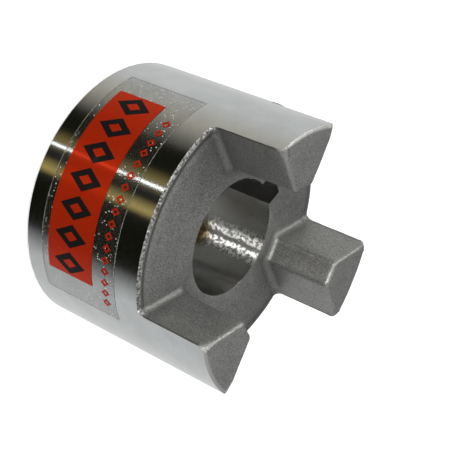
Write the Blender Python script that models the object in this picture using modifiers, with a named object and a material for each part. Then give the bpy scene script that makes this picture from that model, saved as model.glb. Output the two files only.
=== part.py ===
"""Keyed hub of a three-jaw coupling.

One iron casting with three jaws, turned on its outside and bored and keyed for a shaft,
with its grub screw over the keyway and a clear printed label on the turned outside.

Metres, +Z up. The hub stands on its machined rear face, with the origin at the middle of
that face and the jaws pointing up. One jaw lies along +X, and the keyway along -X.
"""

import math

import bmesh
import bpy
from mathutils import Vector

# Hub: turned body
hub_diameter = 0.0842
body_length = 0.0439
rear_chamfer = 0.0005

# Hub: cast jaws
jaw_count = 3
jaw_height = 0.0232
spider_leg_width = 0.0170
centre_space_diameter = 0.0487
flank_draft = math.radians(0.2)
inner_draft = math.radians(0.2)
jaw_corner_round = 0.0020
root_fillet = 0.0020
jaw_edge_round = 0.0012

# Hub: cast edges that the turning leaves partly standing
turning_allowance = 0.0010
floor_rim_round = 0.0026
jaw_tip_round = 0.0020

# Hub: bore, keyway and tapped hole
bore_diameter = 0.0375
bore_chamfer = 0.0004
keyway_width = 0.009525
keyway_depth = 0.0048
screw_height = 0.0215
hole_mouth_chamfer = 0.0007

# Grub screw over the keyway
screw_diameter = 0.009525
screw_length = 0.0127
screw_end_chamfer = 0.0008
screw_setback = 0.0006
thread_clearance = 0.0003
cup_point_diameter = 0.0048
cup_point_depth = 0.0014
socket_width = 0.00476
socket_depth = 0.0052

# Label film stuck to the outside
label_length = 0.0762
label_height = 0.0284
label_base = 0.0065
label_offset_angle = math.radians(7.4)
label_thickness = 0.00015
label_clearance = 0.0003

# Facets
hub_facets = 120
bore_facets = 84
screw_facets = 36
label_facets = 36
fillet_facets = 6
corner_facets = 5
rim_facets = 5
gap_facets = 10

# How far a cutter stands past the face it cuts
overcut = 0.0010

# Derived sizes
jaw_pitch = math.tau / jaw_count
keyway_angle = 1.5 * jaw_pitch
hub_radius = hub_diameter / 2
bore_radius = bore_diameter / 2
hub_length = body_length + jaw_height
blank_radius = hub_radius + turning_allowance
keyway_reach = bore_radius + keyway_depth

# The space between the jaws is cut to beyond the blank, also in the middle of a coarse facet.
cavity_radius = (blank_radius + overcut) / math.cos(jaw_pitch / 2 / gap_facets)


def clear_scene():
    for item in list(bpy.data.objects):
        bpy.data.objects.remove(item, do_unlink=True)


def new_collection(name):
    collection = bpy.data.collections.new(name)
    bpy.context.scene.collection.children.link(collection)
    return collection


def add_object(name, mesh, collection):
    item = bpy.data.objects.new(name, mesh)
    collection.objects.link(item)
    return item


def add_cutter(name, mesh):
    cutter = add_object(name, mesh, cutters)
    cutter.hide_render = True
    cutter.display_type = 'WIRE'
    return cutter


def metal(name, colour, roughness, metallic):
    material = bpy.data.materials.new(name)
    material.use_nodes = True
    shader = material.node_tree.nodes["Principled BSDF"]
    shader.inputs["Base Color"].default_value = (*colour, 1.0)
    shader.inputs["Roughness"].default_value = roughness
    shader.inputs["Metallic"].default_value = metallic
    return material


def profile_mesh(name, points, closed=False):
    """Chain of edges in the XZ plane, through (radius, height) points."""
    mesh = bpy.data.meshes.new(name)
    vertices = [(radius, 0.0, height) for radius, height in points]
    edges = [(i, i + 1) for i in range(len(points) - 1)]
    if closed:
        edges.append((len(points) - 1, 0))
    mesh.from_pydata(vertices, edges, [])
    return mesh


def turn(item, facets, angle=math.tau):
    """Turn an object's profile about its own Z axis, a full turn if no angle is given."""
    screw = item.modifiers.new("Turned", 'SCREW')
    screw.axis = 'Z'
    screw.angle = angle
    screw.steps = facets
    screw.render_steps = facets
    screw.use_merge_vertices = True
    screw.merge_threshold = 0.00001


def cut(target, cutter, operation='DIFFERENCE'):
    boolean = target.modifiers.new(cutter.name, 'BOOLEAN')
    boolean.operation = operation
    boolean.solver = 'EXACT'
    boolean.object = cutter


def arc(centre, radius, start, end, facets):
    """Points on an arc in a plane, from the start angle to the end angle."""
    angles = [start + (end - start) * i / facets for i in range(facets + 1)]
    return [(centre[0] + radius * math.cos(a), centre[1] + radius * math.sin(a)) for a in angles]


def jaw_half_outline(offset, rise):
    """Half of a jaw's section, from the middle of its inner face out along its flank.

    The jaw points along +X. Its flank is parallel to the spider leg beside it, half a jaw
    pitch from the next leg, and keeps half the leg's width away from the leg's middle line.
    The offset moves the whole outline into the jaw, and the draft does so with the rise.
    """
    leg_angle = jaw_pitch / 4
    along = Vector((math.cos(leg_angle), math.sin(leg_angle)))
    across = Vector((-math.sin(leg_angle), math.cos(leg_angle)))
    half_leg = spider_leg_width / 2 + rise * math.tan(flank_draft)
    inner_radius = centre_space_diameter / 2 + rise * math.tan(inner_draft)

    # The corner's centre stays where it is while the offset changes its radius.
    centre_reach = inner_radius + jaw_corner_round
    centre_side = half_leg + jaw_corner_round
    centre = along * math.sqrt(centre_reach ** 2 - centre_side ** 2) - across * centre_side
    corner_radius = jaw_corner_round - offset
    face_radius = inner_radius + offset

    face_end = math.atan2(centre.y, centre.x)
    points = arc((0.0, 0.0), face_radius, 0.0, face_end, corner_facets)[:-1]
    points += arc(centre, corner_radius, face_end + math.pi, leg_angle + math.pi / 2, corner_facets)
    flank_reach = math.sqrt(cavity_radius ** 2 - (half_leg + offset) ** 2)
    flank_end = along * flank_reach - across * (half_leg + offset)
    points.append((flank_end.x, flank_end.y))
    return points


def cavity_outline(offset, rise):
    """Closed outline of the space between the jaws, counter-clockwise seen from above."""
    half = jaw_half_outline(offset, rise)
    gap_start = math.atan2(half[-1][1], half[-1][0])
    gap_end = jaw_pitch - gap_start
    rim = arc((0.0, 0.0), cavity_radius, gap_start, gap_end, gap_facets)[1:-1]
    mirrored = [(x * math.cos(jaw_pitch) + y * math.sin(jaw_pitch),
                 x * math.sin(jaw_pitch) - y * math.cos(jaw_pitch)) for x, y in reversed(half)]
    third = half + rim + mirrored[:-1]
    outline = []
    for i in range(jaw_count):
        c = math.cos(i * jaw_pitch)
        s = math.sin(i * jaw_pitch)
        outline += [(x * c - y * s, x * s + y * c) for x, y in third]
    return outline


def cavity_levels():
    """(offset, rise) pairs: root fillet, drafted flank, and the rounded edge at the tip."""
    levels = []
    for i in range(fillet_facets + 1):
        a = math.pi / 2 * i / fillet_facets
        levels.append((root_fillet * (math.sin(a) - 1), root_fillet * (1 - math.cos(a))))
    for i in range(corner_facets + 1):
        a = math.pi / 2 * i / corner_facets
        rise = jaw_height - jaw_edge_round * (1 - math.sin(a))
        levels.append((jaw_edge_round * (1 - math.cos(a)), rise))
    levels.append((jaw_edge_round, jaw_height + overcut))
    return levels


def loft_mesh(name, sections):
    """Closed solid through closed outlines of equal length, stacked from low to high."""
    mesh = bpy.data.meshes.new(name)
    body = bmesh.new()
    rings = [[body.verts.new((x, y, height)) for x, y in outline] for outline, height in sections]
    for low, high in zip(rings, rings[1:]):
        for i in range(len(low)):
            j = (i + 1) % len(low)
            body.faces.new((low[i], low[j], high[j], high[i]))
    body.faces.new(list(reversed(rings[0])))
    body.faces.new(rings[-1])
    body.to_mesh(mesh)
    body.free()
    return mesh


def make_cavity():
    sections = [(cavity_outline(offset, rise), body_length + rise)
                for offset, rise in cavity_levels()]
    return add_cutter("spider_space", loft_mesh("spider_space", sections))


def make_floor_rim():
    """What the rounded rim of the jaw floor lacks, on the stretches between the jaws."""
    centre = (blank_radius - floor_rim_round, body_length - floor_rim_round)
    section = arc(centre, floor_rim_round, math.pi / 2, 0.0, rim_facets)
    outer = blank_radius + overcut
    section += [(outer, section[-1][1]), (outer, body_length + overcut)]
    section.append((centre[0], body_length + overcut))
    section.reverse()
    rim = add_cutter("floor_rim_waste", profile_mesh("floor_rim_waste", section, closed=True))
    turn(rim, hub_facets)

    # Beside a jaw, the rim's drop runs out in a slope from the foot of the root fillet.
    drop = floor_rim_round - math.sqrt(floor_rim_round ** 2
                                       - (floor_rim_round - turning_allowance) ** 2)
    foot = cavity_outline(-root_fillet, 0.0)
    run_out = cavity_outline(-2 * root_fillet, 0.0)
    sections = [(run_out, body_length - drop), (foot, body_length)]
    sections.append((foot, body_length + 2 * overcut))
    reach = add_cutter("floor_reach", loft_mesh("floor_reach", sections))
    cut(rim, reach, 'INTERSECT')
    return rim


def make_turned_envelope():
    """Everything inside the turned outside and the faced rear."""
    profile = [
        (0.0, hub_length + overcut),
        (hub_radius, hub_length + overcut),
        (hub_radius, rear_chamfer),
        (hub_radius - rear_chamfer, 0.0),
        (0.0, 0.0),
    ]
    envelope = add_cutter("turned_envelope", profile_mesh("turned_envelope", profile))
    turn(envelope, hub_facets)
    return envelope


def make_bore():
    mouth = bore_radius + bore_chamfer
    profile = [
        (0.0, body_length + overcut),
        (mouth, body_length + overcut),
        (mouth, body_length),
        (bore_radius, body_length - bore_chamfer),
        (bore_radius, bore_chamfer),
        (mouth, 0.0),
        (mouth, -overcut),
        (0.0, -overcut),
    ]
    bore = add_cutter("bore_drill", profile_mesh("bore_drill", profile))
    turn(bore, bore_facets)
    return bore


def make_keyway():
    start = bore_radius / 2
    length = body_length + 2 * overcut
    mesh = bpy.data.meshes.new("keyway_broach")
    body = bmesh.new()
    bmesh.ops.create_cube(body, size=1.0)
    bmesh.ops.scale(body, vec=(keyway_reach - start, keyway_width, length), verts=body.verts)
    middle = ((keyway_reach + start) / 2, 0.0, body_length / 2)
    bmesh.ops.translate(body, vec=middle, verts=body.verts)
    body.to_mesh(mesh)
    body.free()
    broach = add_cutter("keyway_broach", mesh)
    broach.rotation_euler.z = keyway_angle
    return broach


def lay_along_keyway(item):
    """Point an object's own Z axis out through the keyway, at the grub screw's height."""
    item.rotation_euler = (0.0, math.pi / 2, keyway_angle)
    item.location.z = screw_height


def make_tapped_hole():
    radius = screw_diameter / 2 + thread_clearance
    mouth_start = hub_radius - hole_mouth_chamfer
    mouth_end = hub_radius + overcut
    mouth = radius + mouth_end - mouth_start
    profile = [
        (0.0, mouth_end),
        (mouth, mouth_end),
        (radius, mouth_start),
        (radius, bore_radius),
        (0.0, bore_radius),
    ]
    hole = add_cutter("tapping_drill", profile_mesh("tapping_drill", profile))
    turn(hole, screw_facets)
    lay_along_keyway(hole)
    return hole


def make_hub():
    """The casting as it leaves the mould, then every cut that is made in it."""
    tip_centre = (blank_radius - jaw_tip_round, hub_length - jaw_tip_round)
    profile = [(0.0, hub_length)]
    profile += arc(tip_centre, jaw_tip_round, math.pi / 2, 0.0, rim_facets)
    profile += [(blank_radius, -overcut), (0.0, -overcut)]
    hub = add_object("hub", profile_mesh("hub", profile), parts)
    turn(hub, hub_facets)
    cut(hub, make_cavity())
    cut(hub, make_floor_rim())
    cut(hub, make_turned_envelope(), 'INTERSECT')
    cut(hub, make_bore())
    cut(hub, make_keyway())
    cut(hub, make_tapped_hole())
    hub.data.materials.append(metal("cast_iron", (0.23, 0.225, 0.22), 0.45, 0.9))


def make_hex_socket(head):
    """Hexagon sunk into the grub screw's head, which lies at this distance along its axis."""
    corner_radius = socket_width / math.sqrt(3)
    depth = socket_depth + overcut
    mesh = bpy.data.meshes.new("hex_socket")
    body = bmesh.new()
    bmesh.ops.create_cone(body, segments=6, radius1=corner_radius, radius2=corner_radius,
                          depth=depth, cap_ends=True)
    bmesh.ops.translate(body, vec=(0.0, 0.0, head - socket_depth + depth / 2), verts=body.verts)
    body.to_mesh(mesh)
    body.free()
    socket = add_cutter("hex_socket", mesh)
    lay_along_keyway(socket)
    return socket


def make_grub_screw():
    """Socket set screw with a cup point, its point just short of the keyway."""
    radius = screw_diameter / 2
    point = keyway_reach + screw_setback
    head = point + screw_length
    profile = [
        (0.0, head),
        (radius - screw_end_chamfer, head),
        (radius, head - screw_end_chamfer),
        (radius, point + (radius - cup_point_diameter / 2)),
        (cup_point_diameter / 2, point),
        (0.0, point + cup_point_depth),
    ]
    screw = add_object("grub_screw", profile_mesh("grub_screw", profile), parts)
    turn(screw, screw_facets)
    lay_along_keyway(screw)
    cut(screw, make_hex_socket(head))
    screw.data.materials.append(metal("black_steel", (0.035, 0.035, 0.038), 0.4, 0.9))


def make_label_film():
    """Clear film wrapped on the turned outside, from just past a jaw's middle line."""
    radius = hub_radius + label_clearance
    points = [(radius, label_base + label_height), (radius, label_base)]
    film = add_object("label_film", profile_mesh("label_film", points), parts)
    turn(film, label_facets, label_length / hub_radius)
    film.rotation_euler = (0.0, 0.0, label_offset_angle - jaw_pitch)
    wall = film.modifiers.new("Film", 'SOLIDIFY')
    wall.thickness = label_thickness
    wall.offset = 1.0
    film.data.materials.append(metal("clear_film", (0.75, 0.22, 0.10), 0.15, 0.0))


clear_scene()
parts = new_collection("jaw_coupling_hub")
cutters = new_collection("cutters")
make_hub()
make_grub_screw()
make_label_film()
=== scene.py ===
import math

import bmesh
import bpy
import numpy as np
from mathutils import Euler, Matrix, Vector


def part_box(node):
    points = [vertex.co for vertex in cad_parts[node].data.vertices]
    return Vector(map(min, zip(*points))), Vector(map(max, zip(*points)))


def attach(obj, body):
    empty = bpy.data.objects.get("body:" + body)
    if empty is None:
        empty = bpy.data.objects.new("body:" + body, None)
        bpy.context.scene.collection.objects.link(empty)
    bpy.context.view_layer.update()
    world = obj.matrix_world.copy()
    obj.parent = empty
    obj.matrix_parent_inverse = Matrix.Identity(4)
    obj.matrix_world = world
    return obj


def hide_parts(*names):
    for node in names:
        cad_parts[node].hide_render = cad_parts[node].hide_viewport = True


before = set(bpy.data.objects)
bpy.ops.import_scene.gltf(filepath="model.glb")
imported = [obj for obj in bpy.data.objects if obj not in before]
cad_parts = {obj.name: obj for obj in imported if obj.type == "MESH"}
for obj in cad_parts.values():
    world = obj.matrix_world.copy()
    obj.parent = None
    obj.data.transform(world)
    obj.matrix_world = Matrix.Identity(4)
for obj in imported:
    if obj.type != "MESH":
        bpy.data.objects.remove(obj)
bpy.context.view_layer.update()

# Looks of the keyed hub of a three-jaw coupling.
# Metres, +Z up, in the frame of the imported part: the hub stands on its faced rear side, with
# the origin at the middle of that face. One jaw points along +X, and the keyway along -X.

# Hub casting
# One grey iron casting: a round body with three jaws. The mould leaves the jaws and the floor
# between them as cast, and they are blasted. The outside, the rear face and the bore are
# machined, a keyway is broached along the bore, and a hole is tapped over the keyway.

hub_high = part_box("hub")[1]
outer_radius = hub_high[0]
tip_level = hub_high[2]
jaw_height = 0.0232
floor_level = tip_level - jaw_height

jaw_count = 3
jaw_pitch = math.tau / jaw_count
leg_angle = jaw_pitch / 4
spider_leg_width = 0.0170
centre_space_radius = 0.02435
flank_draft = math.radians(0.2)
inner_draft = math.radians(0.2)
jaw_corner_round = 0.0020
root_fillet = 0.0020
jaw_edge_round = 0.0012
outer_corner_round = 0.0028
corner_growth = 0.7

rim_bead_round = 0.0015
rim_bead_cut = 0.0003
tip_edge_round = 0.0015
tip_edge_cut = 0.0004
valley_start = 0.0042
valley_step = 0.0015
valley_bottom = 0.0027
valley_rise = 0.0015
valley_depth = 0.00030
rear_chamfer = 0.0005

bore_radius = 0.01875
bore_chamfer = 0.00012
keyway_angle = math.pi
keyway_half_width = 0.0047625
keyway_reach = bore_radius + 0.0048

thread_radius = 0.0047625
thread_pitch = 0.0254 / 16
thread_depth = 0.00084
thread_slope = 1.3
thread_start = 0.0003
thread_rows = 9
hole_height = 0.0215
hole_mouth_radius = 0.0054
hole_chamfer = 0.0007
hole_zone = 0.0072

# Cells of the mesh along each stretch
face_cells = 10
corner_cells = 6
flank_cells = 30
gap_cells = 84
fillet_levels = 8
flank_levels = 24
edge_levels = 6
floor_cells = 22
rim_cells = 26
rim_share = 0.118
tip_cells = 12
side_wall_cells = 6
keyway_floor_cells = 24
zone_cells = 12
zone_margin_cells = 2
plain_cells = 4

# The cast skin's unevenness, as depth, length and number of its waves, slow and fine, and the
# width over which it fades out at a turned edge
swell_depth = 0.00006
swell_length = 0.009
swell_waves = 24
fine_depth = 0.000035
fine_length = 0.0022
fine_waves = 40
fade_width = 0.0004

# Soft steps on the cast skin, from where each starts to where it is full: depths inside the
# turned radius, heights over the floor, or depths under the jaws' tips
bead_step = (0.8 * rim_bead_round, 0.5 * rim_bead_round)
floor_step = (0.0014, 0.0006)
tip_step = (0.0030, 0.0016)
seam_step = (0.0010, 0.0004)
# Painted shade in the valley inside the bead: how deep its middle lies inside the turned radius, and
# its soft edges; then how far the painted shade at the jaws' feet reaches
valley_shade_line = 0.0020
valley_shade_step = (0.0011, 0.0004)
foot_shade_reach = 0.0030

# How strong each mark on the cast skin is, from 0 to 1: the painted highlight on the tips and
# outer edges, the painted shade in the valley and at the jaws' feet, and the flanks' dark line
tip_light_share = 0.16
outer_edge_light_share = 0.1
valley_shade_share = 0.55
seam_share = 0.8
foot_shade_share = 0.55

# Colours of the cast skin, and the waves to the metre of its grains
cast_grey = (0.186, 0.187, 0.180)
# The bead's specks, dark and light: the light ones are painted glints on its rounded edge
bead_dark = (0.02, 0.02, 0.02)
bead_glint_grey = (0.33, 0.33, 0.315)
# Dark of the painted shade in the valley and at the jaws' feet, also used for the dark line at the
# flanks' outer edge
shade_and_line_colour = (0.03, 0.03, 0.027)
# Grey of the painted highlight on the jaws' tips and outer edges
painted_light_grey = (0.29, 0.29, 0.28)
fine_grain = 2800.0
coarse_grain = 2000.0
bead_grain = 1500.0
mottle_grain = 140.0
mottle_share = 0.15
mottle_width = 0.14

# The bore's chattered streak, by its angle, and how its rough spots and its clean middle lie
streak_angle = 1.99
streak_step = (0.0060, 0.0040)
streak_middle = (0.0002, 0.0010)
streak_grain = 800.0
torn_roughness = (0.19, 0.38)
dome_cells = 700.0
dome_height = 0.00004

# Oil on the bore: height, angle, radius and strength of each spot, and the share of its radius
# over which it is full
oil_colour = (0.19, 0.14, 0.055)
oil_spots = ((0.0200, 1.893, 0.0075, 1.0), (0.0330, 2.62, 0.0080, 0.2))
oil_full = 0.25

# Waves to the metre of the mottle that handling leaves on cut iron
handling_grain = 110.0

CAST, TURNED, FACED, BORED, BROACHED, TAPPED = range(6)


def smooth_step(x):
    """Rises from 0 to 1 as x goes from 0 to 1, level at both ends: 3x squared less 2x cubed."""
    x = np.clip(x, 0.0, 1.0)
    return x * x * (3 - 2 * x)


def edge_drop(radius, rounding, cut):
    """How far a cast edge has dropped where the turning cut through its rounding.

    The arc's centre lies the rounding inside the cast radius, which is the turned radius and
    the cut. The drop is the rounding less the arc's height above its centre.
    """
    reach = np.clip(radius - (outer_radius + cut - rounding), 0.0, rounding)
    return rounding - np.sqrt(rounding ** 2 - reach ** 2)


def rim_drop(radius):
    """How far the floor between the jaws has dropped towards its rim.

    A shallow valley runs inside the rim: a short smooth step down, then a longer one up. The
    bead outside it is the cast edge's rounding, which the turning cut through.
    """
    down = smooth_step((radius - outer_radius + valley_start) / valley_step)
    up = smooth_step((radius - outer_radius + valley_bottom) / valley_rise)
    return valley_depth * (down - up) + edge_drop(radius, rim_bead_round, rim_bead_cut)


def jaw_levels(edge):
    """Offset into the jaw and rise above the floor, for each level and each outline point.

    Root fillet: a quarter arc that starts one fillet out on the floor. Flank: no offset.
    Tip: a quarter arc with the radius that each outline point has in edge.
    """
    a = np.linspace(0, math.pi / 2, fillet_levels + 1)[:, None]
    offset = [root_fillet * (np.sin(a) - 1) + 0 * edge]
    rise = [root_fillet * (1 - np.cos(a)) + 0 * edge]
    s = np.linspace(0, 1, flank_levels + 1)[1:-1, None]
    offset.append(0 * s * edge)
    rise.append(root_fillet + (jaw_height - root_fillet - edge) * s)
    a = np.linspace(0, math.pi / 2, edge_levels + 1)[:, None]
    offset.append(edge * (1 - np.cos(a)))
    rise.append(jaw_height - edge * (1 - np.sin(a)))
    return np.vstack(offset), np.vstack(rise)


def jaw_wall():
    """Radius, angle and height of a jaw's wall, by levels and by points along its outline.

    Half an outline is an arc of the centre space, a corner arc, and a flank parallel to the
    line at a quarter pitch, half a spider leg away from it, out to the turned radius. Both
    grow into the jaw with the draft. The other half is its mirror image.
    """
    face = np.linspace(0, 1, face_cells + 1)[:-1]
    corner = np.linspace(0, 1, corner_cells + 1)[:-1]
    flank = 1 - (1 - np.linspace(0, 1, flank_cells + 1)) ** 1.4
    growth = smooth_step((flank - corner_growth) / (1 - corner_growth))
    edge = np.concatenate([0 * face, 0 * corner, growth])
    edge = jaw_edge_round + (outer_corner_round - jaw_edge_round) * edge
    offset, rise = jaw_levels(edge)

    side = spider_leg_width / 2 + rise * math.tan(flank_draft)
    inner = centre_space_radius + rise * math.tan(inner_draft)
    along = np.array([math.cos(leg_angle), math.sin(leg_angle)])
    across = np.array([-math.sin(leg_angle), math.cos(leg_angle)])
    flank_start = np.sqrt((inner + jaw_corner_round) ** 2 - (side + jaw_corner_round) ** 2)
    centre = flank_start[..., None] * along - (side + jaw_corner_round)[..., None] * across
    face_end = np.arctan2(centre[..., 1], centre[..., 0])

    on_face = slice(0, face_cells)
    on_corner = slice(face_cells, face_cells + corner_cells)
    on_flank = slice(face_cells + corner_cells, None)
    points = np.empty(offset.shape + (2,))
    turn = face_end[:, on_face] * face
    radius = (inner + offset)[:, on_face]
    points[:, on_face] = np.stack([radius * np.cos(turn), radius * np.sin(turn)], -1)
    turn = face_end[:, on_corner] + math.pi
    turn = turn + (leg_angle + math.pi / 2 - turn) * corner
    radius = (jaw_corner_round - offset)[:, on_corner]
    arm = np.stack([radius * np.cos(turn), radius * np.sin(turn)], -1)
    points[:, on_corner] = centre[:, on_corner] + arm
    away = (side + offset)[:, on_flank]
    start = flank_start[:, on_flank]
    reach = start + (np.sqrt(outer_radius ** 2 - away ** 2) - start) * flank
    points[:, on_flank] = reach[..., None] * along - away[..., None] * across

    radius = np.hypot(points[..., 0], points[..., 1])
    radius[:, -1] = outer_radius
    angle = np.arctan2(points[..., 1], points[..., 0])
    low_part = np.clip(1 - rise / root_fillet, 0, 1) ** 2
    high_part = smooth_step(1 - (jaw_height - rise) / (2 * tip_edge_round))
    height = floor_level + rise - rim_drop(radius) * low_part
    height = height - edge_drop(radius, tip_edge_round, tip_edge_cut) * high_part
    mirrored = [np.flip(radius[:, 1:], 1), -np.flip(angle[:, 1:], 1), np.flip(height[:, 1:], 1)]
    return [np.hstack(pair) for pair in zip(mirrored, (radius, angle, height))]


def polar(radius, angle, height):
    """Points from radius, angle and height."""
    height = height + 0 * angle
    return np.stack([radius * np.cos(angle), radius * np.sin(angle), height], -1)


class Patches:
    """Grids of quads that share their borders, gathered into one welded mesh."""

    def __init__(self):
        self.points = []
        self.maps = []
        self.quads = []
        self.kinds = []
        self.count = 0

    def add(self, points, along, around, kind, skip=None):
        """Add a grid of rows by columns, with the map coordinates along and around its finish.

        A quad joins four neighbours of the grid. The map coordinates are in metres, and the
        tool marks of a machined face run in the around direction.
        """
        rows, columns = points.shape[:2]
        index = self.count + np.arange(rows * columns).reshape(rows, columns)
        quads = np.stack([index[:-1, :-1], index[:-1, 1:], index[1:, 1:], index[1:, :-1]], -1)
        if skip is not None:
            quads = quads[~skip]
        quads = quads.reshape(-1, 4)
        self.points.append(points.reshape(-1, 3))
        both = np.stack(np.broadcast_arrays(along, around), -1)
        self.maps.append(np.broadcast_to(both, points.shape[:2] + (2,)).reshape(-1, 2))
        self.quads.append(quads)
        self.kinds.append(np.full(len(quads), kind))
        self.count += rows * columns

    def mesh(self, name, materials):
        """Weld the shared borders, turn every face outwards and return the mesh."""
        points = np.concatenate(self.points)
        maps = np.concatenate(self.maps)
        quads = np.concatenate(self.quads)
        mesh = bpy.data.meshes.new(name)
        mesh.from_pydata(points, [], quads)
        layer = mesh.uv_layers.new(name="finish")
        layer.data.foreach_set("uv", maps[quads.ravel()].astype(np.float32).ravel())
        mesh.polygons.foreach_set("material_index", np.concatenate(self.kinds).astype(np.int32))
        for material in materials:
            mesh.materials.append(material)
        body = bmesh.new()
        body.from_mesh(mesh)
        bmesh.ops.remove_doubles(body, verts=body.verts, dist=1e-6)
        bmesh.ops.recalc_face_normals(body, faces=body.faces)
        body.to_mesh(mesh)
        body.free()
        return mesh


def ring(one_jaw, one_gap):
    """Join the columns of three jaws and the three gaps after them, and close the ring.

    Each part is a function of its number that returns angles or radii by columns. Angles are
    already turned to their jaw.
    """
    parts = []
    for i in range(jaw_count):
        parts += [one_jaw(i)[..., :-1], one_gap(i)[..., :-1]]
    return np.concatenate(parts, -1)


def bore_outline(offset):
    """Radius and angle of the bore and keyway, moved out by the offset, by the ring's columns.

    On the bore the radius is the bore's. On a side wall of the keyway it is the half width
    over the sine of the angle from the keyway's middle, and on its floor the reach over the
    cosine. The columns meet the corners of the keyway.
    """
    half_width = keyway_half_width + offset
    reach = keyway_reach + offset
    corner = math.atan2(half_width, reach)
    mouth = math.asin(half_width / (bore_radius + offset))
    half_gap = jaw_pitch / 2 - foot_angle
    arc_cells = (gap_cells - keyway_floor_cells - 2 * side_wall_cells) // 2
    stops = [-half_gap, -mouth, -corner, corner, mouth, half_gap]
    cells = [arc_cells, side_wall_cells, keyway_floor_cells, side_wall_cells, arc_cells]
    pieces = [np.linspace(a, b, n + 1)[:-1] for a, b, n in zip(stops, stops[1:], cells)]
    turn = np.append(np.concatenate(pieces), half_gap)
    radius = np.full(turn.shape, bore_radius + offset)
    on_side = slice(arc_cells, arc_cells + side_wall_cells)
    on_floor = slice(on_side.stop, on_side.stop + keyway_floor_cells + 1)
    far_side = slice(on_floor.stop, on_floor.stop + side_wall_cells)
    radius[on_side] = half_width / np.abs(np.sin(turn[on_side]))
    radius[on_floor] = reach / np.cos(turn[on_floor])
    radius[far_side] = half_width / np.abs(np.sin(turn[far_side]))

    keyed = round((keyway_angle - jaw_pitch / 2) / jaw_pitch)
    plain = np.linspace(foot_angle, jaw_pitch - foot_angle, gap_cells + 1)
    middle = jaw_pitch / 2
    angles = ring(lambda i: foot_outline + i * jaw_pitch,
                  lambda i: (turn + middle if i == keyed else plain) + i * jaw_pitch)
    radii = ring(lambda i: np.full(foot_outline.shape, bore_radius + offset),
                 lambda i: radius if i == keyed else np.full(turn.shape, bore_radius + offset))
    return close(radii, 0.0), close(angles, math.tau)


def close(columns, further):
    """Repeat the first column after the last, with a full turn or nothing added."""
    return np.append(columns, columns[..., :1] + further, axis=-1)


def thread_form(depth_along, turn):
    """Share of the thread's depth, from 0 at its root to 1 at its crest.

    A triangle wave of the way along less a turn's share of the pitch, with its tips cut flat.
    """
    phase = (depth_along / thread_pitch - turn / math.tau) % 1.0
    wave = 1 - np.abs(2 * phase - 1)
    return np.clip(thread_slope * wave - (thread_slope - 1) / 2, 0, 1)


def wavy(points, size, waves, seed):
    """Smooth uneven surface from -1 to 1 or so: a sum of sine waves in random directions."""
    pick = np.random.default_rng(seed)
    direction = pick.normal(size=(3, waves))
    direction *= math.tau / size / np.linalg.norm(direction, axis=0)
    direction *= pick.uniform(0.6, 1.6, waves)
    phase = pick.uniform(0, math.tau, waves)
    return np.sin(points @ direction + phase).sum(1) / math.sqrt(waves)


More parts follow.
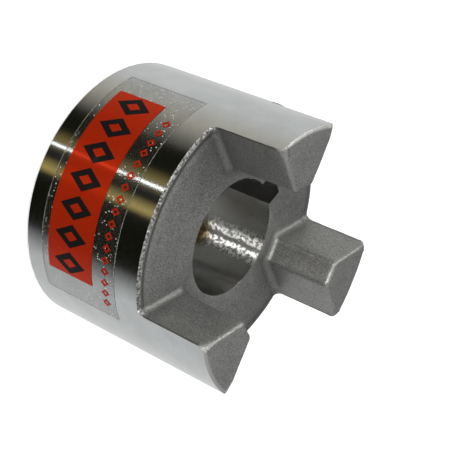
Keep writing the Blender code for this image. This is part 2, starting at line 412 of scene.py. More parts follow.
def add_hub_patches(patches):
    """The casting's surfaces, each a grid in radius, angle and height."""
    wall_radius, wall_angle, wall_height = jaw_wall()
    rim_height = wall_height[0, -1]
    side_share = np.linspace(-1, 1, wall_angle.shape[1])
    low_share = side_share[None, :]
    top_share = wall_angle[-1] / wall_angle[-1, -1]
    rows = np.linspace(0, 1, len(wall_angle))[:, None]
    outside_angle = (low_share + (top_share - low_share) * rows) * wall_angle[:, -1:]

    # Each jaw's wall, tip and turned outside
    tip_length = outer_radius - wall_radius[-1]
    crowding = 1 + tip_length / tip_length.max()
    tip_rows = 1 - (1 - np.linspace(0, 1, tip_cells + 1)[:, None]) ** crowding
    tip_radius = wall_radius[-1] + tip_length * tip_rows
    tip_height = tip_level - edge_drop(tip_radius, tip_edge_round, tip_edge_cut)
    for i in range(jaw_count):
        turned = i * jaw_pitch
        points = polar(wall_radius, wall_angle + turned, wall_height)
        patches.add(points, points[..., 2], wall_angle * outer_radius, CAST)
        points = polar(tip_radius, wall_angle[-1] + turned, tip_height)
        patches.add(points, points[..., 0], points[..., 1], CAST)
        points = polar(outer_radius, outside_angle + turned, wall_height[:, -1:])
        patches.add(points, points[..., 2], (outside_angle + turned) * outer_radius, TURNED)

    # Floor between the bore and the jaws' feet or the rim
    gap_angle = np.linspace(foot_angle, jaw_pitch - foot_angle, gap_cells + 1)
    body_angle = close(ring(lambda i: side_share * foot_angle + i * jaw_pitch,
                            lambda i: gap_angle + i * jaw_pitch), math.tau)
    foot_radius = close(ring(lambda i: wall_radius[0],
                             lambda i: np.full(gap_angle.shape, outer_radius)), 0.0)
    out_angle = close(ring(lambda i: wall_angle[0] + i * jaw_pitch,
                           lambda i: gap_angle + i * jaw_pitch), math.tau)
    mouth_radius, mouth_angle = bore_outline(bore_chamfer)
    share = np.append(np.linspace(0, 1 - rim_share, floor_cells + 1)[:-1],
                      np.linspace(1 - rim_share, 1, rim_cells + 1))[:, None]
    radius = mouth_radius + (foot_radius - mouth_radius) * share
    angle = mouth_angle + (out_angle - mouth_angle) * share
    points = polar(radius, angle, floor_level - rim_drop(radius))
    patches.add(points, points[..., 0], points[..., 1], CAST)

    # Turned body and rear chamfer
    zone_top = hole_height + hole_zone
    zone_low = hole_height - hole_zone
    zone = np.linspace(zone_top, zone_low, zone_cells + 1)
    height = np.concatenate([np.linspace(rim_height, zone_top, plain_cells + 1)[:-1], zone,
                             np.linspace(zone_low, rear_chamfer, plain_cells + 1)[1:], [0.0]])
    body_radius = np.full(height.shape, outer_radius)
    body_radius[-1] -= rear_chamfer
    body = polar(body_radius[:, None], body_angle, height[:, None])
    in_zone = np.zeros((len(height) - 1, len(body_angle) - 1), bool)
    first_row = plain_cells
    middle = np.argmin(np.abs(body_angle - keyway_angle))
    half_zone = keyway_floor_cells // 2 - zone_margin_cells
    zone_rows = slice(first_row, first_row + zone_cells)
    zone_columns = slice(middle - half_zone, middle + half_zone)
    in_zone[zone_rows, zone_columns] = True
    patches.add(body, height[:, None], body_angle * outer_radius, TURNED, in_zone)

    # Faced rear
    rear_radius, rear_angle = bore_outline(bore_chamfer)
    share = np.linspace(0, 1, 7)[:, None]
    radius = rear_radius + (outer_radius - rear_chamfer - rear_radius) * share
    angle = rear_angle + (body_angle - rear_angle) * share
    patches.add(polar(radius, angle, 0.0), radius, angle * outer_radius, FACED)

    # Bore and keyway, with a chamfer at each end
    radius, angle = bore_outline(0.0)
    top = floor_level - bore_chamfer
    height = np.concatenate([[floor_level], np.linspace(top, zone_top, plain_cells + 1)[:-1], zone,
                             np.linspace(zone_low, bore_chamfer, plain_cells + 1)[1:], [0.0]])
    radii = np.repeat(radius[None], len(height), 0)
    angles = np.repeat(angle[None], len(height), 0)
    radii[0], angles[0] = mouth_radius, mouth_angle
    radii[-1], angles[-1] = rear_radius, rear_angle
    bore = polar(radii, angles, height[:, None])
    keyed = radius[:-1] + radius[1:] > 2 * bore_radius + 1e-5
    for kind, skipped in ((BORED, keyed), (BROACHED, ~keyed)):
        skip = np.repeat(skipped[None], len(height) - 1, 0)
        skip[1 + first_row:1 + first_row + zone_cells, zone_columns] = True
        along, around = height[:, None], angles * bore_radius
        if kind == BROACHED:
            along, around = around, along
        patches.add(bore, along, around, kind, skip)

    # Tapped hole, one strip from a frame in the turned outside to a frame in the keyway's floor
    corners = (first_row, first_row + zone_cells, middle - half_zone, middle + half_zone)
    outer_frame = frame_loop(body, *corners)
    inner_frame = frame_loop(bore, corners[0] + 1, corners[1] + 1, *corners[2:])
    turn = np.unwrap(np.arctan2(outer_frame[:, 2] - hole_height, outer_frame[:, 1]))
    turn[-1] = turn[0] + math.copysign(math.tau, turn[1] - turn[0])
    mouth = hole_ring(turn, hole_mouth_radius, -outer_radius)
    mouth[:, 0] = -np.sqrt(outer_radius ** 2 - mouth[:, 1] ** 2)
    rows = [outer_frame + (mouth - outer_frame) * share for share in (0, 0.35, 0.7)]
    rows.append(mouth)
    first = -outer_radius + hole_chamfer + thread_start
    steps = np.arange(first, -keyway_reach, thread_pitch / thread_rows)
    for x in np.append(steps, -keyway_reach):
        fade = smooth_step((-keyway_reach - x) / -thread_pitch)
        radius = thread_radius - thread_depth * (1 - fade * (1 - thread_form(x, turn)))
        rows.append(hole_ring(turn, radius, x))
    floor_ring = rows[-1]
    rows += [floor_ring + (inner_frame - floor_ring) * share for share in (0.5, 1)]
    strip = np.stack(rows)
    blend = 3
    around = turn * thread_radius
    patches.add(strip[:blend + 1], strip[:blend + 1, :, 2],
                np.arctan2(strip[:blend + 1, :, 1], -strip[:blend + 1, :, 0]) * -outer_radius, TURNED)
    patches.add(strip[blend:-2], strip[blend:-2, :, 0], around, TAPPED)
    patches.add(strip[-3:], strip[-3:, :, 1], strip[-3:, :, 2], BROACHED)


def frame_loop(grid, top, bottom, left, right):
    """Closed loop of the grid's points round a rectangle of its cells."""
    loop = [grid[top, left:right], grid[top:bottom, right], grid[bottom, right:left:-1],
            grid[bottom:top:-1, left], grid[top, left:left + 1]]
    return np.concatenate(loop)


def hole_ring(turn, radius, x):
    """Ring round the tapped hole's axis, which runs along X at the hole's height."""
    radius = radius + 0 * turn
    return np.stack([np.full(turn.shape, x), radius * np.cos(turn),
                     hole_height + radius * np.sin(turn)], -1)


def roughen_casting(mesh):
    """Move the cast skin in along its own normals, so that it looks poured and not machined.

    The depth is a slow swell and a fine unevenness, both sums of sine waves. The part of the
    move away from the axis or towards it fades out at the turned outside, which stays true.
    """
    count = len(mesh.vertices)
    points = np.empty(count * 3)
    mesh.vertices.foreach_get("co", points)
    points = points.reshape(-1, 3)
    faces = len(mesh.polygons)
    normal, area = np.empty(faces * 3), np.empty(faces)
    kind, corners = np.empty(faces, np.int32), np.empty(faces, np.int32)
    mesh.polygons.foreach_get("normal", normal)
    mesh.polygons.foreach_get("area", area)
    mesh.polygons.foreach_get("material_index", kind)
    mesh.polygons.foreach_get("loop_total", corners)
    vertex = np.empty(len(mesh.loops), np.int32)
    mesh.loops.foreach_get("vertex_index", vertex)
    weighted = normal.reshape(-1, 3) * (area * (kind == CAST))[:, None]
    push = np.zeros((count, 3))
    np.add.at(push, vertex, np.repeat(weighted, corners, 0))
    length = np.linalg.norm(push, axis=1)
    cast = length > 0
    push[cast] /= length[cast, None]
    depth = swell_depth * (1 + 0.5 * wavy(points, swell_length, swell_waves, 3))
    depth += fine_depth * (1 + 0.5 * wavy(points, fine_length, fine_waves, 5))
    push *= -depth[:, None]
    radius = np.hypot(points[:, 0], points[:, 1])
    outward = points * [1, 1, 0] / radius[:, None]
    fade = 1 - np.clip((outer_radius - radius) / fade_width, 0, 1)
    push -= outward * ((push * outward).sum(1) * fade)[:, None]
    points[cast] += push[cast]
    on_border = cast & (radius > outer_radius - 1e-6)
    moved = np.hypot(points[:, 0], points[:, 1])
    points[on_border, :2] *= (outer_radius / moved[on_border])[:, None]
    points[:, 2] = np.minimum(points[:, 2], tip_level)
    mesh.vertices.foreach_set("co", points.ravel())
    mesh.update()


def shade_jaw_feet(mesh):
    """Store how near each point lies to the foot of a jaw, for the painted shade there.

    The way to the jaw is the larger of the ways to its flank's line and to its inner face, and
    the rise above the floor is added. The value is e to the power of less that way over the
    reach, so it is 1 in the corner and fades to 0.
    """
    points = np.empty(len(mesh.vertices) * 3)
    mesh.vertices.foreach_get("co", points)
    x, y, z = points.reshape(-1, 3).T
    radius = np.hypot(x, y)
    turn = np.abs((np.arctan2(y, x) + jaw_pitch / 2) % jaw_pitch - jaw_pitch / 2)
    to_flank = radius * np.sin(turn - leg_angle) + spider_leg_width / 2
    to_face = centre_space_radius - radius
    away = np.maximum(np.maximum(to_flank, to_face), 0) + np.maximum(z - floor_level, 0)
    layer = mesh.attributes.new("painted_foot_shade", 'FLOAT', 'POINT')
    layer.data.foreach_set("value", np.exp(-away / foot_shade_reach).astype(np.float32))


def add_node(tree, kind, inputs=(), **settings):
    """New shader node with its settings, and its inputs as (socket, value or output) pairs."""
    item = tree.nodes.new("ShaderNode" + kind)
    for name, value in settings.items():
        setattr(item, name, value)
    for socket, value in inputs:
        if isinstance(value, bpy.types.NodeSocket):
            tree.links.new(value, item.inputs[socket])
        else:
            item.inputs[socket].default_value = value
    return item


def new_finish(name, colour, roughness, metallic, **others):
    """Material with one Principled shader, and its constants set on the shader's own sockets."""
    material = bpy.data.materials.new(name)
    material.use_nodes = True
    shader = material.node_tree.nodes["Principled BSDF"]
    shader.inputs["Base Color"].default_value = (*colour, 1.0)
    shader.inputs["Roughness"].default_value = roughness
    shader.inputs["Metallic"].default_value = metallic
    for socket, value in others.items():
        shader.inputs[socket.replace("_", " ").title().replace("Ior", "IOR")].default_value = value
    return material, material.node_tree, shader


def grain(tree, vector, scale, detail=2.0):
    """Noise in the given vector, with this many waves to the metre."""
    noise = add_node(tree, "TexNoise", [("Vector", vector), ("Scale", scale), ("Detail", detail)])
    return noise.outputs["Fac"]


def step(tree, value, start, end, low=0.0, high=1.0, **settings):
    """Number that goes from low to high as the value goes from start to end, and stays there."""
    ranged = add_node(tree, "MapRange", [("Value", value), ("From Min", start), ("From Max", end),
                                         ("To Min", low), ("To Max", high)], **settings)
    return ranged.outputs["Result"]


def spread(tree, value, low, high):
    """Noise's middle range stretched to run from low to high."""
    return step(tree, value, 0.3, 0.7, low, high)


def reckon(tree, operation, first, second, **settings):
    """One step of arithmetic on two numbers."""
    item = add_node(tree, "Math", [(0, first), (1, second)], operation=operation, **settings)
    return item.outputs[0]


def away_from(tree, value, middle):
    """How far the value lies from the middle, either way."""
    return reckon(tree, 'ABSOLUTE', reckon(tree, 'SUBTRACT', value, middle), 0.0)


def tint(tree, value, dark, light):
    """Colour between two colours as the value goes from 0 to 1, each a triple or a socket."""
    pairs = [("Factor", value)]
    for slot, colour in ((6, dark), (7, light)):
        pairs.append((slot, colour if isinstance(colour, bpy.types.NodeSocket) else (*colour, 1.0)))
    return add_node(tree, "Mix", pairs, data_type='RGBA').outputs[2]


def raise_grain(tree, shader, heights):
    """Chain of bumps into the shader, from (height, strength, distance) triples."""
    normal = None
    for height, strength, distance in heights:
        pairs = [("Height", height), ("Strength", strength), ("Distance", distance)]
        if normal is not None:
            pairs.append(("Normal", normal))
        normal = add_node(tree, "Bump", pairs).outputs["Normal"]
    tree.links.new(normal, shader.inputs["Normal"])


def blasted_iron():
    """Cast skin after blasting: matt grey with a fine even grain.

    The grain gets coarser on the floor's bead, beside the turned outside, with painted glints
    in its light specks. Painted shade darkens the valley inside the bead and the jaws' feet, and
    a dark line runs where a jaw's flank meets the turned outside. The jaws' tips and their outer
    edges get a painted highlight.
    """
    material, tree, shader = new_finish("blasted_iron", cast_grey, 0.45, 0.8)
    place = add_node(tree, "TexCoord").outputs["Object"]
    flat = add_node(tree, "VectorMath", [(0, place), (1, (1.0, 1.0, 0.0))],
                    operation='MULTIPLY').outputs[0]
    radius = add_node(tree, "VectorMath", [(0, flat)], operation='LENGTH').outputs["Value"]
    level = add_node(tree, "SeparateXYZ", [("Vector", place)]).outputs["Z"]
    beside = step(tree, radius, *(outer_radius - depth for depth in bead_step))
    low = step(tree, level, *(floor_level + rise for rise in floor_step))
    high = step(tree, level, *(tip_level - depth for depth in tip_step))
    above = reckon(tree, 'SUBTRACT', 1.0, low)
    near_rim = reckon(tree, 'MULTIPLY', beside, low)

    fine = grain(tree, place, fine_grain)
    coarse = grain(tree, place, coarse_grain)
    beads = grain(tree, place, bead_grain, 3.0)
    mottle = reckon(tree, 'MULTIPLY', grain(tree, place, mottle_grain, 3.0), mottle_share)
    middle = 0.5 + 0.5 * mottle_share
    share = step(tree, reckon(tree, 'ADD', mottle, fine), middle - mottle_width,
                 middle + mottle_width)
    skin = tint(tree, share, [c * 0.6 for c in cast_grey], [c * 1.4 for c in cast_grey])

    # Painted shade in the valley inside the bead and at the jaws' feet, and a dark line on the jaws
    # just inside the turned outside
    valley_shade = step(tree, away_from(tree, radius, outer_radius - valley_shade_line), *valley_shade_step, 0.0,
                 valley_shade_share)
    seam = step(tree, radius, *(outer_radius - depth for depth in seam_step), 0.0, seam_share)
    corner = add_node(tree, "Attribute", attribute_name="painted_foot_shade").outputs["Fac"]
    shade_and_line = reckon(tree, 'MAXIMUM', reckon(tree, 'MULTIPLY', valley_shade, low),
                   reckon(tree, 'MULTIPLY', corner, foot_shade_share))
    shade_and_line = reckon(tree, 'MAXIMUM', shade_and_line, reckon(tree, 'MULTIPLY', seam, above))
    skin = tint(tree, shade_and_line, skin, shade_and_line_colour)
    # Coarse grain on the bead, whose light specks are painted glints
    bead_glints = tint(tree, spread(tree, beads, -0.3, 1.2), bead_dark, bead_glint_grey)
    skin = tint(tree, near_rim, skin, bead_glints)
    # Painted highlight on the jaws' tips and on the outer edges, lightest at the outside
    tip_light = step(tree, beside, 0.0, 1.0, tip_light_share)
    painted_light = reckon(tree, 'MAXIMUM', reckon(tree, 'MULTIPLY', tip_light, high),
                    reckon(tree, 'MULTIPLY', beside, outer_edge_light_share))
    skin = tint(tree, painted_light, skin, painted_light_grey)
    tree.links.new(skin, shader.inputs["Base Color"])
    tree.links.new(spread(tree, coarse, 0.38, 0.55), shader.inputs["Roughness"])
    raise_grain(tree, shader, [(coarse, 0.5, 0.0002), (fine, 0.4, 0.0002),
                               (beads, near_rim, 0.00035)])
    return material


def machined_iron(name, colour, roughness, marks_to_metre, strength, streak=None, spots=()):
    """Cut iron whose tool marks run along the map's second axis.

    The highlight spreads across the marks through the shader's anisotropy, whose tangent is
    the map's first axis. Noise drawn out along the marks gives the marks themselves, and a
    slow noise the mottle that handling leaves. The tool chattered at the streak's angle:
    rough spots lie in two bands there, with a clean line between them. Spots are oil.
    """
    material, tree, shader = new_finish(name, colour, roughness, 1.0, anisotropic=1.0)
    tangent = add_node(tree, "Tangent", direction_type='UV_MAP', uv_map="finish")
    tree.links.new(tangent.outputs["Tangent"], shader.inputs["Tangent"])
    place = add_node(tree, "UVMap", uv_map="finish").outputs["UV"]
    drawn = add_node(tree, "Mapping", [("Vector", place), ("Scale", (1.0, 0.03, 1.0))]).outputs[0]
    fine = grain(tree, drawn, marks_to_metre, 3.0)
    broad = grain(tree, drawn, marks_to_metre / 6)
    handled = grain(tree, place, handling_grain, 4.0)
    share = step(tree, reckon(tree, 'ADD', fine, handled), 0.75, 1.25)
    skin = tint(tree, share, [c * 0.90 for c in colour], [c * 1.06 for c in colour])
    for height, angle, size, most in spots:
        middle = (height, angle * bore_radius, 0.0)
        away = add_node(tree, "VectorMath", [(0, place), (1, middle)],
                        operation='DISTANCE').outputs["Value"]
        share = step(tree, away, size, size * oil_full, 0.0, most, interpolation_type='SMOOTHSTEP')
        skin = tint(tree, share, skin, oil_colour)
    tree.links.new(skin, shader.inputs["Base Color"])
    gloss = spread(tree, fine, roughness * 0.9, roughness * 1.1)
    heights = [(fine, strength, 0.00001), (broad, strength, 0.000015)]
    if streak is not None:
        around = add_node(tree, "SeparateXYZ", [("Vector", place)]).outputs["Y"]
        away = away_from(tree, around, streak * bore_radius)
        part = step(tree, away, *streak_step)
        speckle = spread(tree, grain(tree, place, streak_grain, 3.0), -0.4, 1.4)
        rough = reckon(tree, 'MULTIPLY', speckle, step(tree, away, *streak_middle), use_clamp=True)
        torn = step(tree, rough, 0.0, 1.0, *torn_roughness)
        gloss = add_node(tree, "Mix", [("Factor", part), ("A", gloss), ("B", torn)]).outputs[0]
        cells = add_node(tree, "TexVoronoi", [("Vector", place), ("Scale", dome_cells)])
        heights.append((cells.outputs["Distance"], part, dome_height))
    tree.links.new(gloss, shader.inputs["Roughness"])
    raise_grain(tree, shader, heights)
    return material


def add_object(name, data):
    """New object at the origin that holds a mesh, a lamp or a camera."""
    item = bpy.data.objects.new(name, data)
    bpy.context.scene.collection.objects.link(item)
    return item


foot_outline = jaw_wall()[1][0]
foot_angle = foot_outline[-1]
hub_patches = Patches()
add_hub_patches(hub_patches)
iron_finishes = [
    blasted_iron(),
    machined_iron("turned_iron", (0.455, 0.472, 0.472), 0.14, 9000.0, 0.3),
    machined_iron("faced_iron", (0.48, 0.48, 0.475), 0.30, 5000.0, 0.4),
    machined_iron("bored_iron", (0.53, 0.53, 0.51), 0.20, 6000.0, 0.12,
                  streak_angle, oil_spots),
    machined_iron("broached_iron", (0.42, 0.42, 0.41), 0.32, 5000.0, 0.4),
    machined_iron("tapped_iron", (0.35, 0.345, 0.34), 0.36, 7000.0, 0.2),
]
hub_mesh = hub_patches.mesh("hub_casting", iron_finishes)
roughen_casting(hub_mesh)
# Painted shade at the jaws' feet, stored on the mesh for the cast skin
shade_jaw_feet(hub_mesh)
hub_mesh.shade_smooth()
hub_mesh.set_sharp_from_angle(angle=math.radians(32))
hub_casting = add_object("hub_casting", hub_mesh)
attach(hub_casting, "root")
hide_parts("hub")

# Grub screw
# A 3/8 inch socket set screw of alloy steel with a black oxide finish and a cup point. It is
# screwed down the tapped hole over the keyway, until its head lies below the turned outside.

screw_low, screw_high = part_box("grub_screw")
screw_head = screw_low[0]
screw_point = screw_high[0]
thread_play = 0.00006
screw_end_round = 0.0008
cup_radius = 0.0024
cup_depth = 0.0014
socket_apothem = 0.00238
socket_depth = 0.0052
socket_rim = 0.0002
socket_cone = 0.0006
point_chamfer = 0.0003
screw_columns = 72


def make_screw_patches():
    """Rings round the screw's axis: cup, point, thread, head, then the socket's six walls.

    On the thread the radius follows the tapped hole's thread form with a little play. In the
    socket it is the apothem over the cosine of the angle from the nearest wall's middle.
    """
    patches = Patches()
    turn = np.linspace(0, math.tau, screw_columns + 1)
    wall = (turn + math.pi / 6) % (math.pi / 3) - math.pi / 6
    hexagon = socket_apothem / np.cos(wall)
    root = thread_radius - thread_depth
    tip = screw_point
    rows = [(0.0, tip - cup_depth), (cup_radius * 0.9, tip - 0.0001), (cup_radius, tip),
            (root - point_chamfer, tip - (root - point_chamfer - cup_radius))]
    rings = [hole_ring(turn, radius, x) for radius, x in rows]
    start, end = rows[-1][1], screw_head + screw_end_round
    for x in np.arange(start - 0.0001, end, -thread_pitch / thread_rows):
        fade = smooth_step((start - x) / thread_pitch)
        depth = thread_depth * (1 - thread_form(x, turn))
        rings.append(hole_ring(turn, root - thread_play + depth * fade, x))
    head_radius = thread_radius - screw_end_round
    rings.append(hole_ring(turn, head_radius + 0.0001, screw_head + 0.00005))
    rings.append(hole_ring(turn, head_radius - 0.0001, screw_head))
    rings.append(hole_ring(turn, hexagon + socket_rim, screw_head))
    thread_points = np.stack(rings)
    rings = [rings[-1], hole_ring(turn, hexagon, screw_head + socket_rim)]
    bottom = screw_head + socket_depth
    rings += [hole_ring(turn, hexagon, screw_head + socket_depth * s) for s in (0.3, 0.6, 1.0)]
    rings.append(hole_ring(turn, 0.0, bottom + socket_cone))
    socket_points = np.stack(rings)
    around = turn * thread_radius
    for points in (thread_points, socket_points):
        patches.add(points, points[..., 0], around, 0)
    return patches


def black_oxide():
    """Black oxide on steel: near black, satin, a little browner and shinier where handled."""
    material, tree, shader = new_finish("black_oxide", (0.03, 0.03, 0.032), 0.4, 0.9)
    place = add_node(tree, "TexCoord").outputs["Object"]
    blotch = grain(tree, place, 450.0, 3.0)
    tree.links.new(tint(tree, spread(tree, blotch, 0, 1), (0.018, 0.018, 0.02),
                        (0.06, 0.055, 0.05)), shader.inputs["Base Color"])
    tree.links.new(spread(tree, blotch, 0.3, 0.5), shader.inputs["Roughness"])
    raise_grain(tree, shader, [(grain(tree, place, 5000.0), 0.2, 0.00005)])
    return material


screw_mesh = make_screw_patches().mesh("socket_screw", [black_oxide()])
screw_mesh.shade_smooth()
screw_mesh.set_sharp_from_angle(angle=math.radians(35))
socket_screw = add_object("socket_screw", screw_mesh)
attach(socket_screw, "root")
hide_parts("grub_screw")

# Label
# A clear gloss film, 3 by 1 1/8 inch, stuck round the turned outside by hand, so a few small
# bubbles stay under it. A thin orange-red ink that lets the metal glow through is printed on
# it as a field and a row of small rhombi, with black figures over the field.

film_low, film_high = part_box("label_film")
film_base = film_low[2]
film_top = film_high[2]
film_start = math.radians(7.4) - jaw_pitch
film_span = 0.0762 / outer_radius
film_underside = 0.00002
film_surface = 0.00008
film_edge_width = 0.00014
ink_thickness = 0.00001
ink_gap = 0.00001
field_base = 0.0091
field_top = 0.0263
field_start = math.radians(18.0) - jaw_pitch
field_end = math.radians(99.0) - jaw_pitch
figure_count = 7
figure_height = 0.0122
figure_width = 0.0072
figure_hole = 0.42
row_level = 0.0313
row_height = 0.0030
row_width = 0.0027
row_hole = 0.45
row_count = 17
row_start = math.radians(26.0) - jaw_pitch
row_end = math.radians(104.0) - jaw_pitch

# The four sides of a grid, and its cells along the film and the field and round each rhombus
four_rims = (np.s_[0], np.s_[-1], np.s_[:, 0], np.s_[:, -1])
film_cells = (150, 24)
field_cells = (130, 12)
row_cells = 24
figure_cells = 64

# Bubbles: their cells to the metre, their size in a cell, and a slow noise that says where
# they crowd
bubble_grid = 1100.0
bubble_size = 0.16
crowd_grain = 160.0
crowd_start = 0.47


def wrapped(along, height, depth):
    """Points on the turned outside, from the length along it, the height and the depth over it."""
    angle = along / outer_radius
    radius = outer_radius + depth + 0 * angle
    return np.stack([radius * np.cos(angle), radius * np.sin(angle), height + 0 * angle], -1)


def sheet_patch(patches, along, height, low, high, rims=(0, -1)):
    """Closed thin sheet over a grid of lengths and heights: outer face, inner face and rims."""
    outer = wrapped(along, height, high)
    inner = wrapped(along, height, low)
    patches.add(outer, along, height, 0)
    patches.add(inner, along, height, 0)
    for rim in rims:
        points = np.stack([outer[rim], inner[rim]])
        patches.add(points, along[rim][None], height[rim][None], 0)


def rectangle(start, end, base, top, columns, rows):
    """Grid of lengths along the outside and heights, for a plain rectangle."""
    along = np.linspace(start, end, columns + 1)[None, :] + np.zeros((rows + 1, 1))
    height = np.linspace(base, top, rows + 1)[:, None] + np.zeros((1, columns + 1))
    return along, height


def rhombus_figure(middle, level, width, height, hole, cells):
    """Grid over a flat ring between two rhombi, the inner one a share of the outer.

    The reach of a rhombus at an angle is 1 over the sum of the sine's and cosine's sizes.
    """
    turn = np.linspace(0, math.tau, cells + 1)[None, :]
    share = np.array([[1.0], [hole]]) / (np.abs(np.cos(turn)) + np.abs(np.sin(turn)))
    return middle + width / 2 * np.cos(turn) * share, level + height / 2 * np.sin(turn) * share


def frame_figure(start, end, base, top, width, columns, rows):
    """Grid of two outlines round a rectangle, the inner one moved in by the width."""
    side = np.linspace(0, 1, columns + 1)[:-1]
    rise = np.linspace(0, 1, rows + 1)[:-1]
    right = np.concatenate([side, 1 + 0 * rise, 1 - side, 0 * rise, [0]])
    up = np.concatenate([0 * side, rise, 1 + 0 * side, 1 - rise, [0]])
    along, height = start + (end - start) * right, base + (top - base) * up
    return (np.stack([along, np.clip(along, start + width, end - width)]),
            np.stack([height, np.clip(height, base + width, top - width)]))


def clear_film():
    """Clear gloss film: it greys the metal a little, and has small bubbles here and there."""
    material, tree, shader = new_finish("clear_film", (0.03, 0.029, 0.024), 0.12, 0.0, ior=1.5)
    place = add_node(tree, "UVMap", uv_map="finish").outputs["UV"]
    speck = add_node(tree, "TexVoronoi", [("Vector", place), ("Scale", bubble_grid)])
    small = reckon(tree, 'LESS_THAN', speck.outputs["Distance"], bubble_size)
    some = reckon(tree, 'GREATER_THAN', grain(tree, place, crowd_grain), crowd_start)
    bubble = reckon(tree, 'MULTIPLY', small, some)
    tree.links.new(step(tree, bubble, 0.0, 1.0, 0.07, 0.42), shader.inputs["Alpha"])
    tree.links.new(tint(tree, bubble, (0.035, 0.032, 0.025), (0.7, 0.7, 0.66)),
                   shader.inputs["Base Color"])
    return material


def film_edge():
    """The film's cut edge: a thin grey line, patchy along its length."""
    material, tree, shader = new_finish("film_edge", (0.2, 0.2, 0.18), 0.35, 0.0, ior=1.5)
    place = add_node(tree, "TexCoord").outputs["Object"]
    patchy = grain(tree, place, 900.0)
    tree.links.new(spread(tree, patchy, 0.25, 0.85), shader.inputs["Alpha"])
    return material


def printed_ink(name, dark, light, shine):
    """Glossy ink in a faint screen of specks. Its shine is the metal's glow through the ink."""
    material, tree, shader = new_finish(name, light, 0.19, shine, anisotropic=1.0,
                                        anisotropic_rotation=0.25, specular_ior_level=0.04,
                                        coat_weight=0.03, coat_roughness=0.1)
    tangent = add_node(tree, "Tangent", direction_type='UV_MAP', uv_map="finish")
    tree.links.new(tangent.outputs["Tangent"], shader.inputs["Tangent"])
    place = add_node(tree, "UVMap", uv_map="finish").outputs["UV"]
    specks = grain(tree, place, 2500.0)
    tree.links.new(tint(tree, spread(tree, specks, 0, 1), dark, light),
                   shader.inputs["Base Color"])
    return material


def add_label_piece(name, patches, material):
    """One layer of the label, which the source's film stands for."""
    mesh = patches.mesh(name, [material])
    mesh.shade_smooth()
    mesh.set_sharp_from_angle(angle=math.radians(30))
    piece = add_object(name, mesh)
    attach(piece, "root")
    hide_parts("label_film")


film_left = film_start * outer_radius
film_right = film_left + film_span * outer_radius
film_patches = Patches()
sheet_patch(film_patches, *rectangle(film_left, film_right, film_base, film_top, *film_cells),
            film_underside, film_surface, four_rims)
add_label_piece("clear_film", film_patches, clear_film())

ink_low = film_surface + ink_gap
ink_high = ink_low + ink_thickness
edge_patches = Patches()
edge_frame = frame_figure(film_left, film_right, film_base, film_top, film_edge_width, *film_cells)
sheet_patch(edge_patches, *edge_frame, ink_low, ink_high)
add_label_piece("film_edges", edge_patches, film_edge())

field_left = field_start * outer_radius
field_right = field_end * outer_radius
field_patches = Patches()
sheet_patch(field_patches, *rectangle(field_left, field_right, field_base, field_top, *field_cells),
            ink_low, ink_high, four_rims)
for middle in np.linspace(row_start * outer_radius, row_end * outer_radius, row_count):
    rhombus = rhombus_figure(middle, row_level, row_width, row_height, row_hole, row_cells)
    sheet_patch(field_patches, *rhombus, ink_low, ink_high)
add_label_piece("printed_field", field_patches,
                printed_ink("orange_ink", (0.24, 0.012, 0.002), (0.30, 0.017, 0.003), 0.5))

figure_patches = Patches()
figure_low = ink_high + ink_gap
figure_level = (field_base + field_top) / 2
figure_pitch = (field_right - field_left) / figure_count
for i in range(figure_count):
    middle = field_left + figure_pitch * (i + 0.5)
    rhombus = rhombus_figure(middle, figure_level, figure_width, figure_height, figure_hole,
                             figure_cells)
    sheet_patch(figure_patches, *rhombus, figure_low, figure_low + ink_thickness)
add_label_piece("printed_figures", figure_patches,
                printed_ink("black_ink", (0.003, 0.003, 0.003), (0.006, 0.005, 0.005), 0.0))

# Studio
# A white floor and room, with a grey far wall and a curved screen behind the camera: a black
# curtain between cream and white, with two gold panels and a narrow strip light. Two small
# flash lamps give the sparkle, and two windows light the far side.

room_radius = 1.2
wall_radius = 1.02 * room_radius
strip_radius = 0.97 * room_radius

# Degrees round the hub, where azimuth 0 is +X, and degrees up
screen_start = -170.0
screen_end = 75.0
screen_low = -86.0
screen_high = 54.0
wall_end = 215.0
wall_low = -80.0
wall_high = 80.0
strip_azimuth = -76.0
strip_width = 1.2
strip_high = 62.0

# The far wall: grey by elevation, grey by share of its width, and how far the first shows
wall_bands = ((-80, 0.84), (-24, 0.84), (-13, 0.05), (3, 0.05), (9, 0.11), (50, 0.11), (70, 1.0))
wall_sides = ((0.0, 0.9), (0.3, 0.9), (1.0, 1.0))
wall_fade = ((0.0, 0.0), (0.12, 1.0), (0.5, 1.0), (0.85, 0.0))

strip_strength = 5.5
floor_size = 4.0
floor_lines = 9
floor_gap = 0.0002
floor_glow = 0.8
open_matt = (0.35, 0.35, 0.35)
covered_matt = (0.8, 0.8, 0.8)
ambient_share = 0.6

# The screen's colours, and the azimuth at which it has each
room_white = (0.9, 0.9, 0.9)
cream = (0.7, 0.65, 0.55)
curtain_black = (0.01, 0.01, 0.005)
gold = (0.65, 0.48, 0.12)
dim_gold = (0.3, 0.22, 0.05)
screen_bands = (
    (screen_start, room_white),
    (-140, cream),
    (-110, curtain_black),
    (-90, curtain_black),
    (-80, dim_gold),
    (-70, curtain_black),
    (-65, curtain_black),
    (-55, gold),
    (-50, curtain_black),
    (-5, curtain_black),
    (22, room_white),
    (screen_end, room_white),
)


def room_patch(name, start, end, low, high, radius, material):
    """Part of a sphere round the hub, seen only in what the metal mirrors."""
    azimuth = np.radians(np.linspace(start, end, 97))[None, :]
    elevation = np.radians(np.linspace(low, high, 25))[:, None]
    level = radius * np.sin(elevation) + 0 * azimuth
    points = polar(radius * np.cos(elevation), azimuth, level)
    share = np.linspace(0, 1, azimuth.size)[None, :]
    rise = np.linspace(0, 1, elevation.size)[:, None]
    patches = Patches()
    patches.add(points, share, rise, 0)
    mesh = patches.mesh(name, [material])
    piece = add_object(name, mesh)
    piece.visible_camera = False
    piece.visible_diffuse = False
    piece.visible_shadow = False


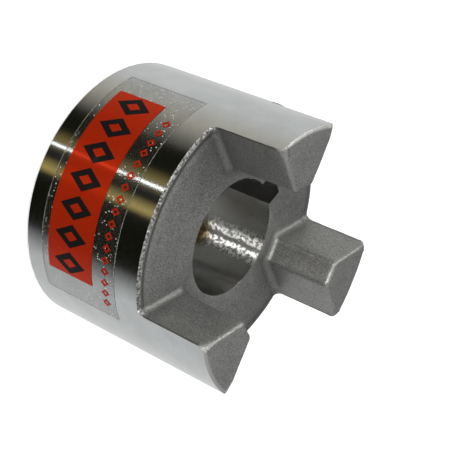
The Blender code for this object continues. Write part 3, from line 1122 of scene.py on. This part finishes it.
def glowing(name, strength):
    """Material that only gives light, and its tree, light node and output node."""
    material = bpy.data.materials.new(name)
    material.use_nodes = True
    tree = material.node_tree
    tree.nodes.clear()
    light = add_node(tree, "Emission", [("Strength", strength)])
    output = add_node(tree, "OutputMaterial", [("Surface", light.outputs[0])])
    return material, tree, light, output


def ramp(tree, share, stops):
    """Colour that runs through the stops, pairs of a share from 0 to 1 and a colour."""
    bands = add_node(tree, "ValToRGB", [("Fac", share)])
    elements = bands.color_ramp.elements
    while len(elements) < len(stops):
        elements.new(0.5)
    for element, (position, colour) in zip(elements, stops):
        element.position = position
        element.color = (*colour, 1.0)
    return bands.outputs["Color"]


def screen_paint():
    """The screen's bands, by its azimuth."""
    material, tree, light = glowing("screen_paint", 1.0)[:3]
    place = add_node(tree, "UVMap", uv_map="finish").outputs["UV"]
    share = add_node(tree, "SeparateXYZ", [("Vector", place)]).outputs["X"]
    width = screen_end - screen_start
    stops = [((azimuth - screen_start) / width, colour) for azimuth, colour in screen_bands]
    tree.links.new(ramp(tree, share, stops), light.inputs["Color"])
    return material


def wall_paint():
    """The far wall: greys by elevation, which fade into the white room towards its sides."""
    material, tree, light = glowing("wall_paint", 1.0)[:3]
    place = add_node(tree, "UVMap", uv_map="finish").outputs["UV"]
    shares = add_node(tree, "SeparateXYZ", [("Vector", place)]).outputs
    height = wall_high - wall_low
    greys = [((elevation - wall_low) / height, (grey,) * 3) for elevation, grey in wall_bands]
    fades = [(share, (fade,) * 3) for share, fade in wall_fade]
    sides = [(share, (grey,) * 3) for share, grey in wall_sides]
    paint = tint(tree, ramp(tree, shares["X"], fades), ramp(tree, shares["X"], sides),
                 ramp(tree, shares["Y"], greys))
    tree.links.new(paint, light.inputs["Color"])
    return material


def floor_paint():
    """White floor that keeps the hub's shadow.

    Metal mirrors the room through it, except where the hub stands on it.
    """
    material, tree, light, output = glowing("floor_paint", floor_glow)
    light.inputs["Color"].default_value = (1.0, 1.0, 1.0, 1.0)
    matt = add_node(tree, "BsdfDiffuse", [("Color", (*open_matt, 1.0))])
    both = add_node(tree, "AddShader", [(0, light.outputs[0]), (1, matt.outputs[0])])
    clear = add_node(tree, "BsdfTransparent")
    path = add_node(tree, "LightPath")
    either = reckon(tree, 'MAXIMUM', path.outputs["Is Glossy Ray"],
                    path.outputs["Is Transmission Ray"])
    open_floor = add_node(tree, "MixShader", [(0, either), (1, both.outputs[0]),
                                              (2, clear.outputs[0])])
    place = add_node(tree, "TexCoord").outputs["Object"]
    reach = add_node(tree, "VectorMath", [(0, place)], operation='LENGTH').outputs["Value"]
    beyond = reckon(tree, 'GREATER_THAN', reach, outer_radius)
    shaded = add_node(tree, "BsdfDiffuse", [("Color", (*covered_matt, 1.0))])
    mix = add_node(tree, "MixShader", [(0, beyond), (1, shaded.outputs[0]),
                                       (2, open_floor.outputs[0])])
    tree.links.new(mix.outputs[0], output.inputs["Surface"])
    return material


room_patch("dark_screen", screen_start, screen_end, screen_low, screen_high, room_radius,
           screen_paint())
room_patch("far_wall", screen_end, wall_end, wall_low, wall_high, wall_radius, wall_paint())
room_patch("strip_light", strip_azimuth - strip_width / 2, strip_azimuth + strip_width / 2,
           screen_low, strip_high, strip_radius, glowing("strip_glow", strip_strength)[0])

floor_patches = Patches()
side = np.linspace(-floor_size / 2, floor_size / 2, floor_lines)
spots = np.stack(np.broadcast_arrays(side[:, None], side[None, :], -floor_gap), -1)
floor_patches.add(spots, spots[..., 0], spots[..., 1], 0)
floor = add_object("floor", floor_patches.mesh("floor", [floor_paint()]))

world = bpy.data.worlds.new("white_room")
bpy.context.scene.world = world
world.use_nodes = True
room = world.node_tree
room_light = room.nodes["Background"]
path = add_node(room, "LightPath")
seen = reckon(room, 'MAXIMUM', path.outputs["Is Camera Ray"], path.outputs["Is Glossy Ray"])
seen = reckon(room, 'MAXIMUM', seen, path.outputs["Is Transmission Ray"])
room_light.inputs["Color"].default_value = (1.0, 1.0, 1.0, 1.0)
room.links.new(step(room, seen, 0.0, 1.0, ambient_share), room_light.inputs["Strength"])


def soft_lamp(name, azimuth, elevation, distance, size, power):
    """Square lamp turned to the hub's middle."""
    lamp = bpy.data.lights.new(name, 'AREA')
    lamp.size = size
    lamp.energy = power
    item = add_object(name, lamp)
    a = math.radians(azimuth)
    e = math.radians(elevation)
    item.location = (distance * math.cos(e) * math.cos(a), distance * math.cos(e) * math.sin(a),
                     distance * math.sin(e) + tip_level / 2)
    item.rotation_euler = (math.pi / 2 - e, 0, a + math.pi / 2)
    item.visible_camera = False


soft_lamp("window", azimuth=190.0, elevation=50.0, distance=1.0, size=0.6, power=5.6)
soft_lamp("flash", azimuth=-76.5, elevation=30.0, distance=0.8, size=0.02, power=5.0)
soft_lamp("second_flash", azimuth=-57.0, elevation=30.0, distance=0.8, size=0.02, power=3.2)
soft_lamp("side_window", azimuth=100.0, elevation=30.0, distance=0.45, size=0.2, power=0.05)

# Camera
# Where the photograph was taken from: close, from above the gap between two jaws, and rolled
# so that the hub seems to lie on its side.

camera_lens = 86.24
camera_target = (-0.00350583, 0.00126009, 0.03795405)
camera_azimuth = math.radians(-63.0836)
camera_elevation = math.radians(31.3238)
camera_distance = 0.328136
camera_roll = math.radians(113.2879)

camera_data = bpy.data.cameras.new("camera")
camera_data.lens = camera_lens
camera_data.clip_start = 0.01
camera = add_object("camera", camera_data)
flat = camera_distance * math.cos(camera_elevation)
camera.location = (camera_target[0] + flat * math.cos(camera_azimuth),
                   camera_target[1] + flat * math.sin(camera_azimuth),
                   camera_target[2] + camera_distance * math.sin(camera_elevation))
level_turn = Euler((math.pi / 2 - camera_elevation, 0, camera_azimuth + math.pi / 2)).to_matrix()
camera.rotation_euler = (level_turn @ Matrix.Rotation(camera_roll, 3, 'Z')).to_euler()
bpy.context.scene.camera = camera

bpy.context.scene.view_settings.view_transform = 'Standard'
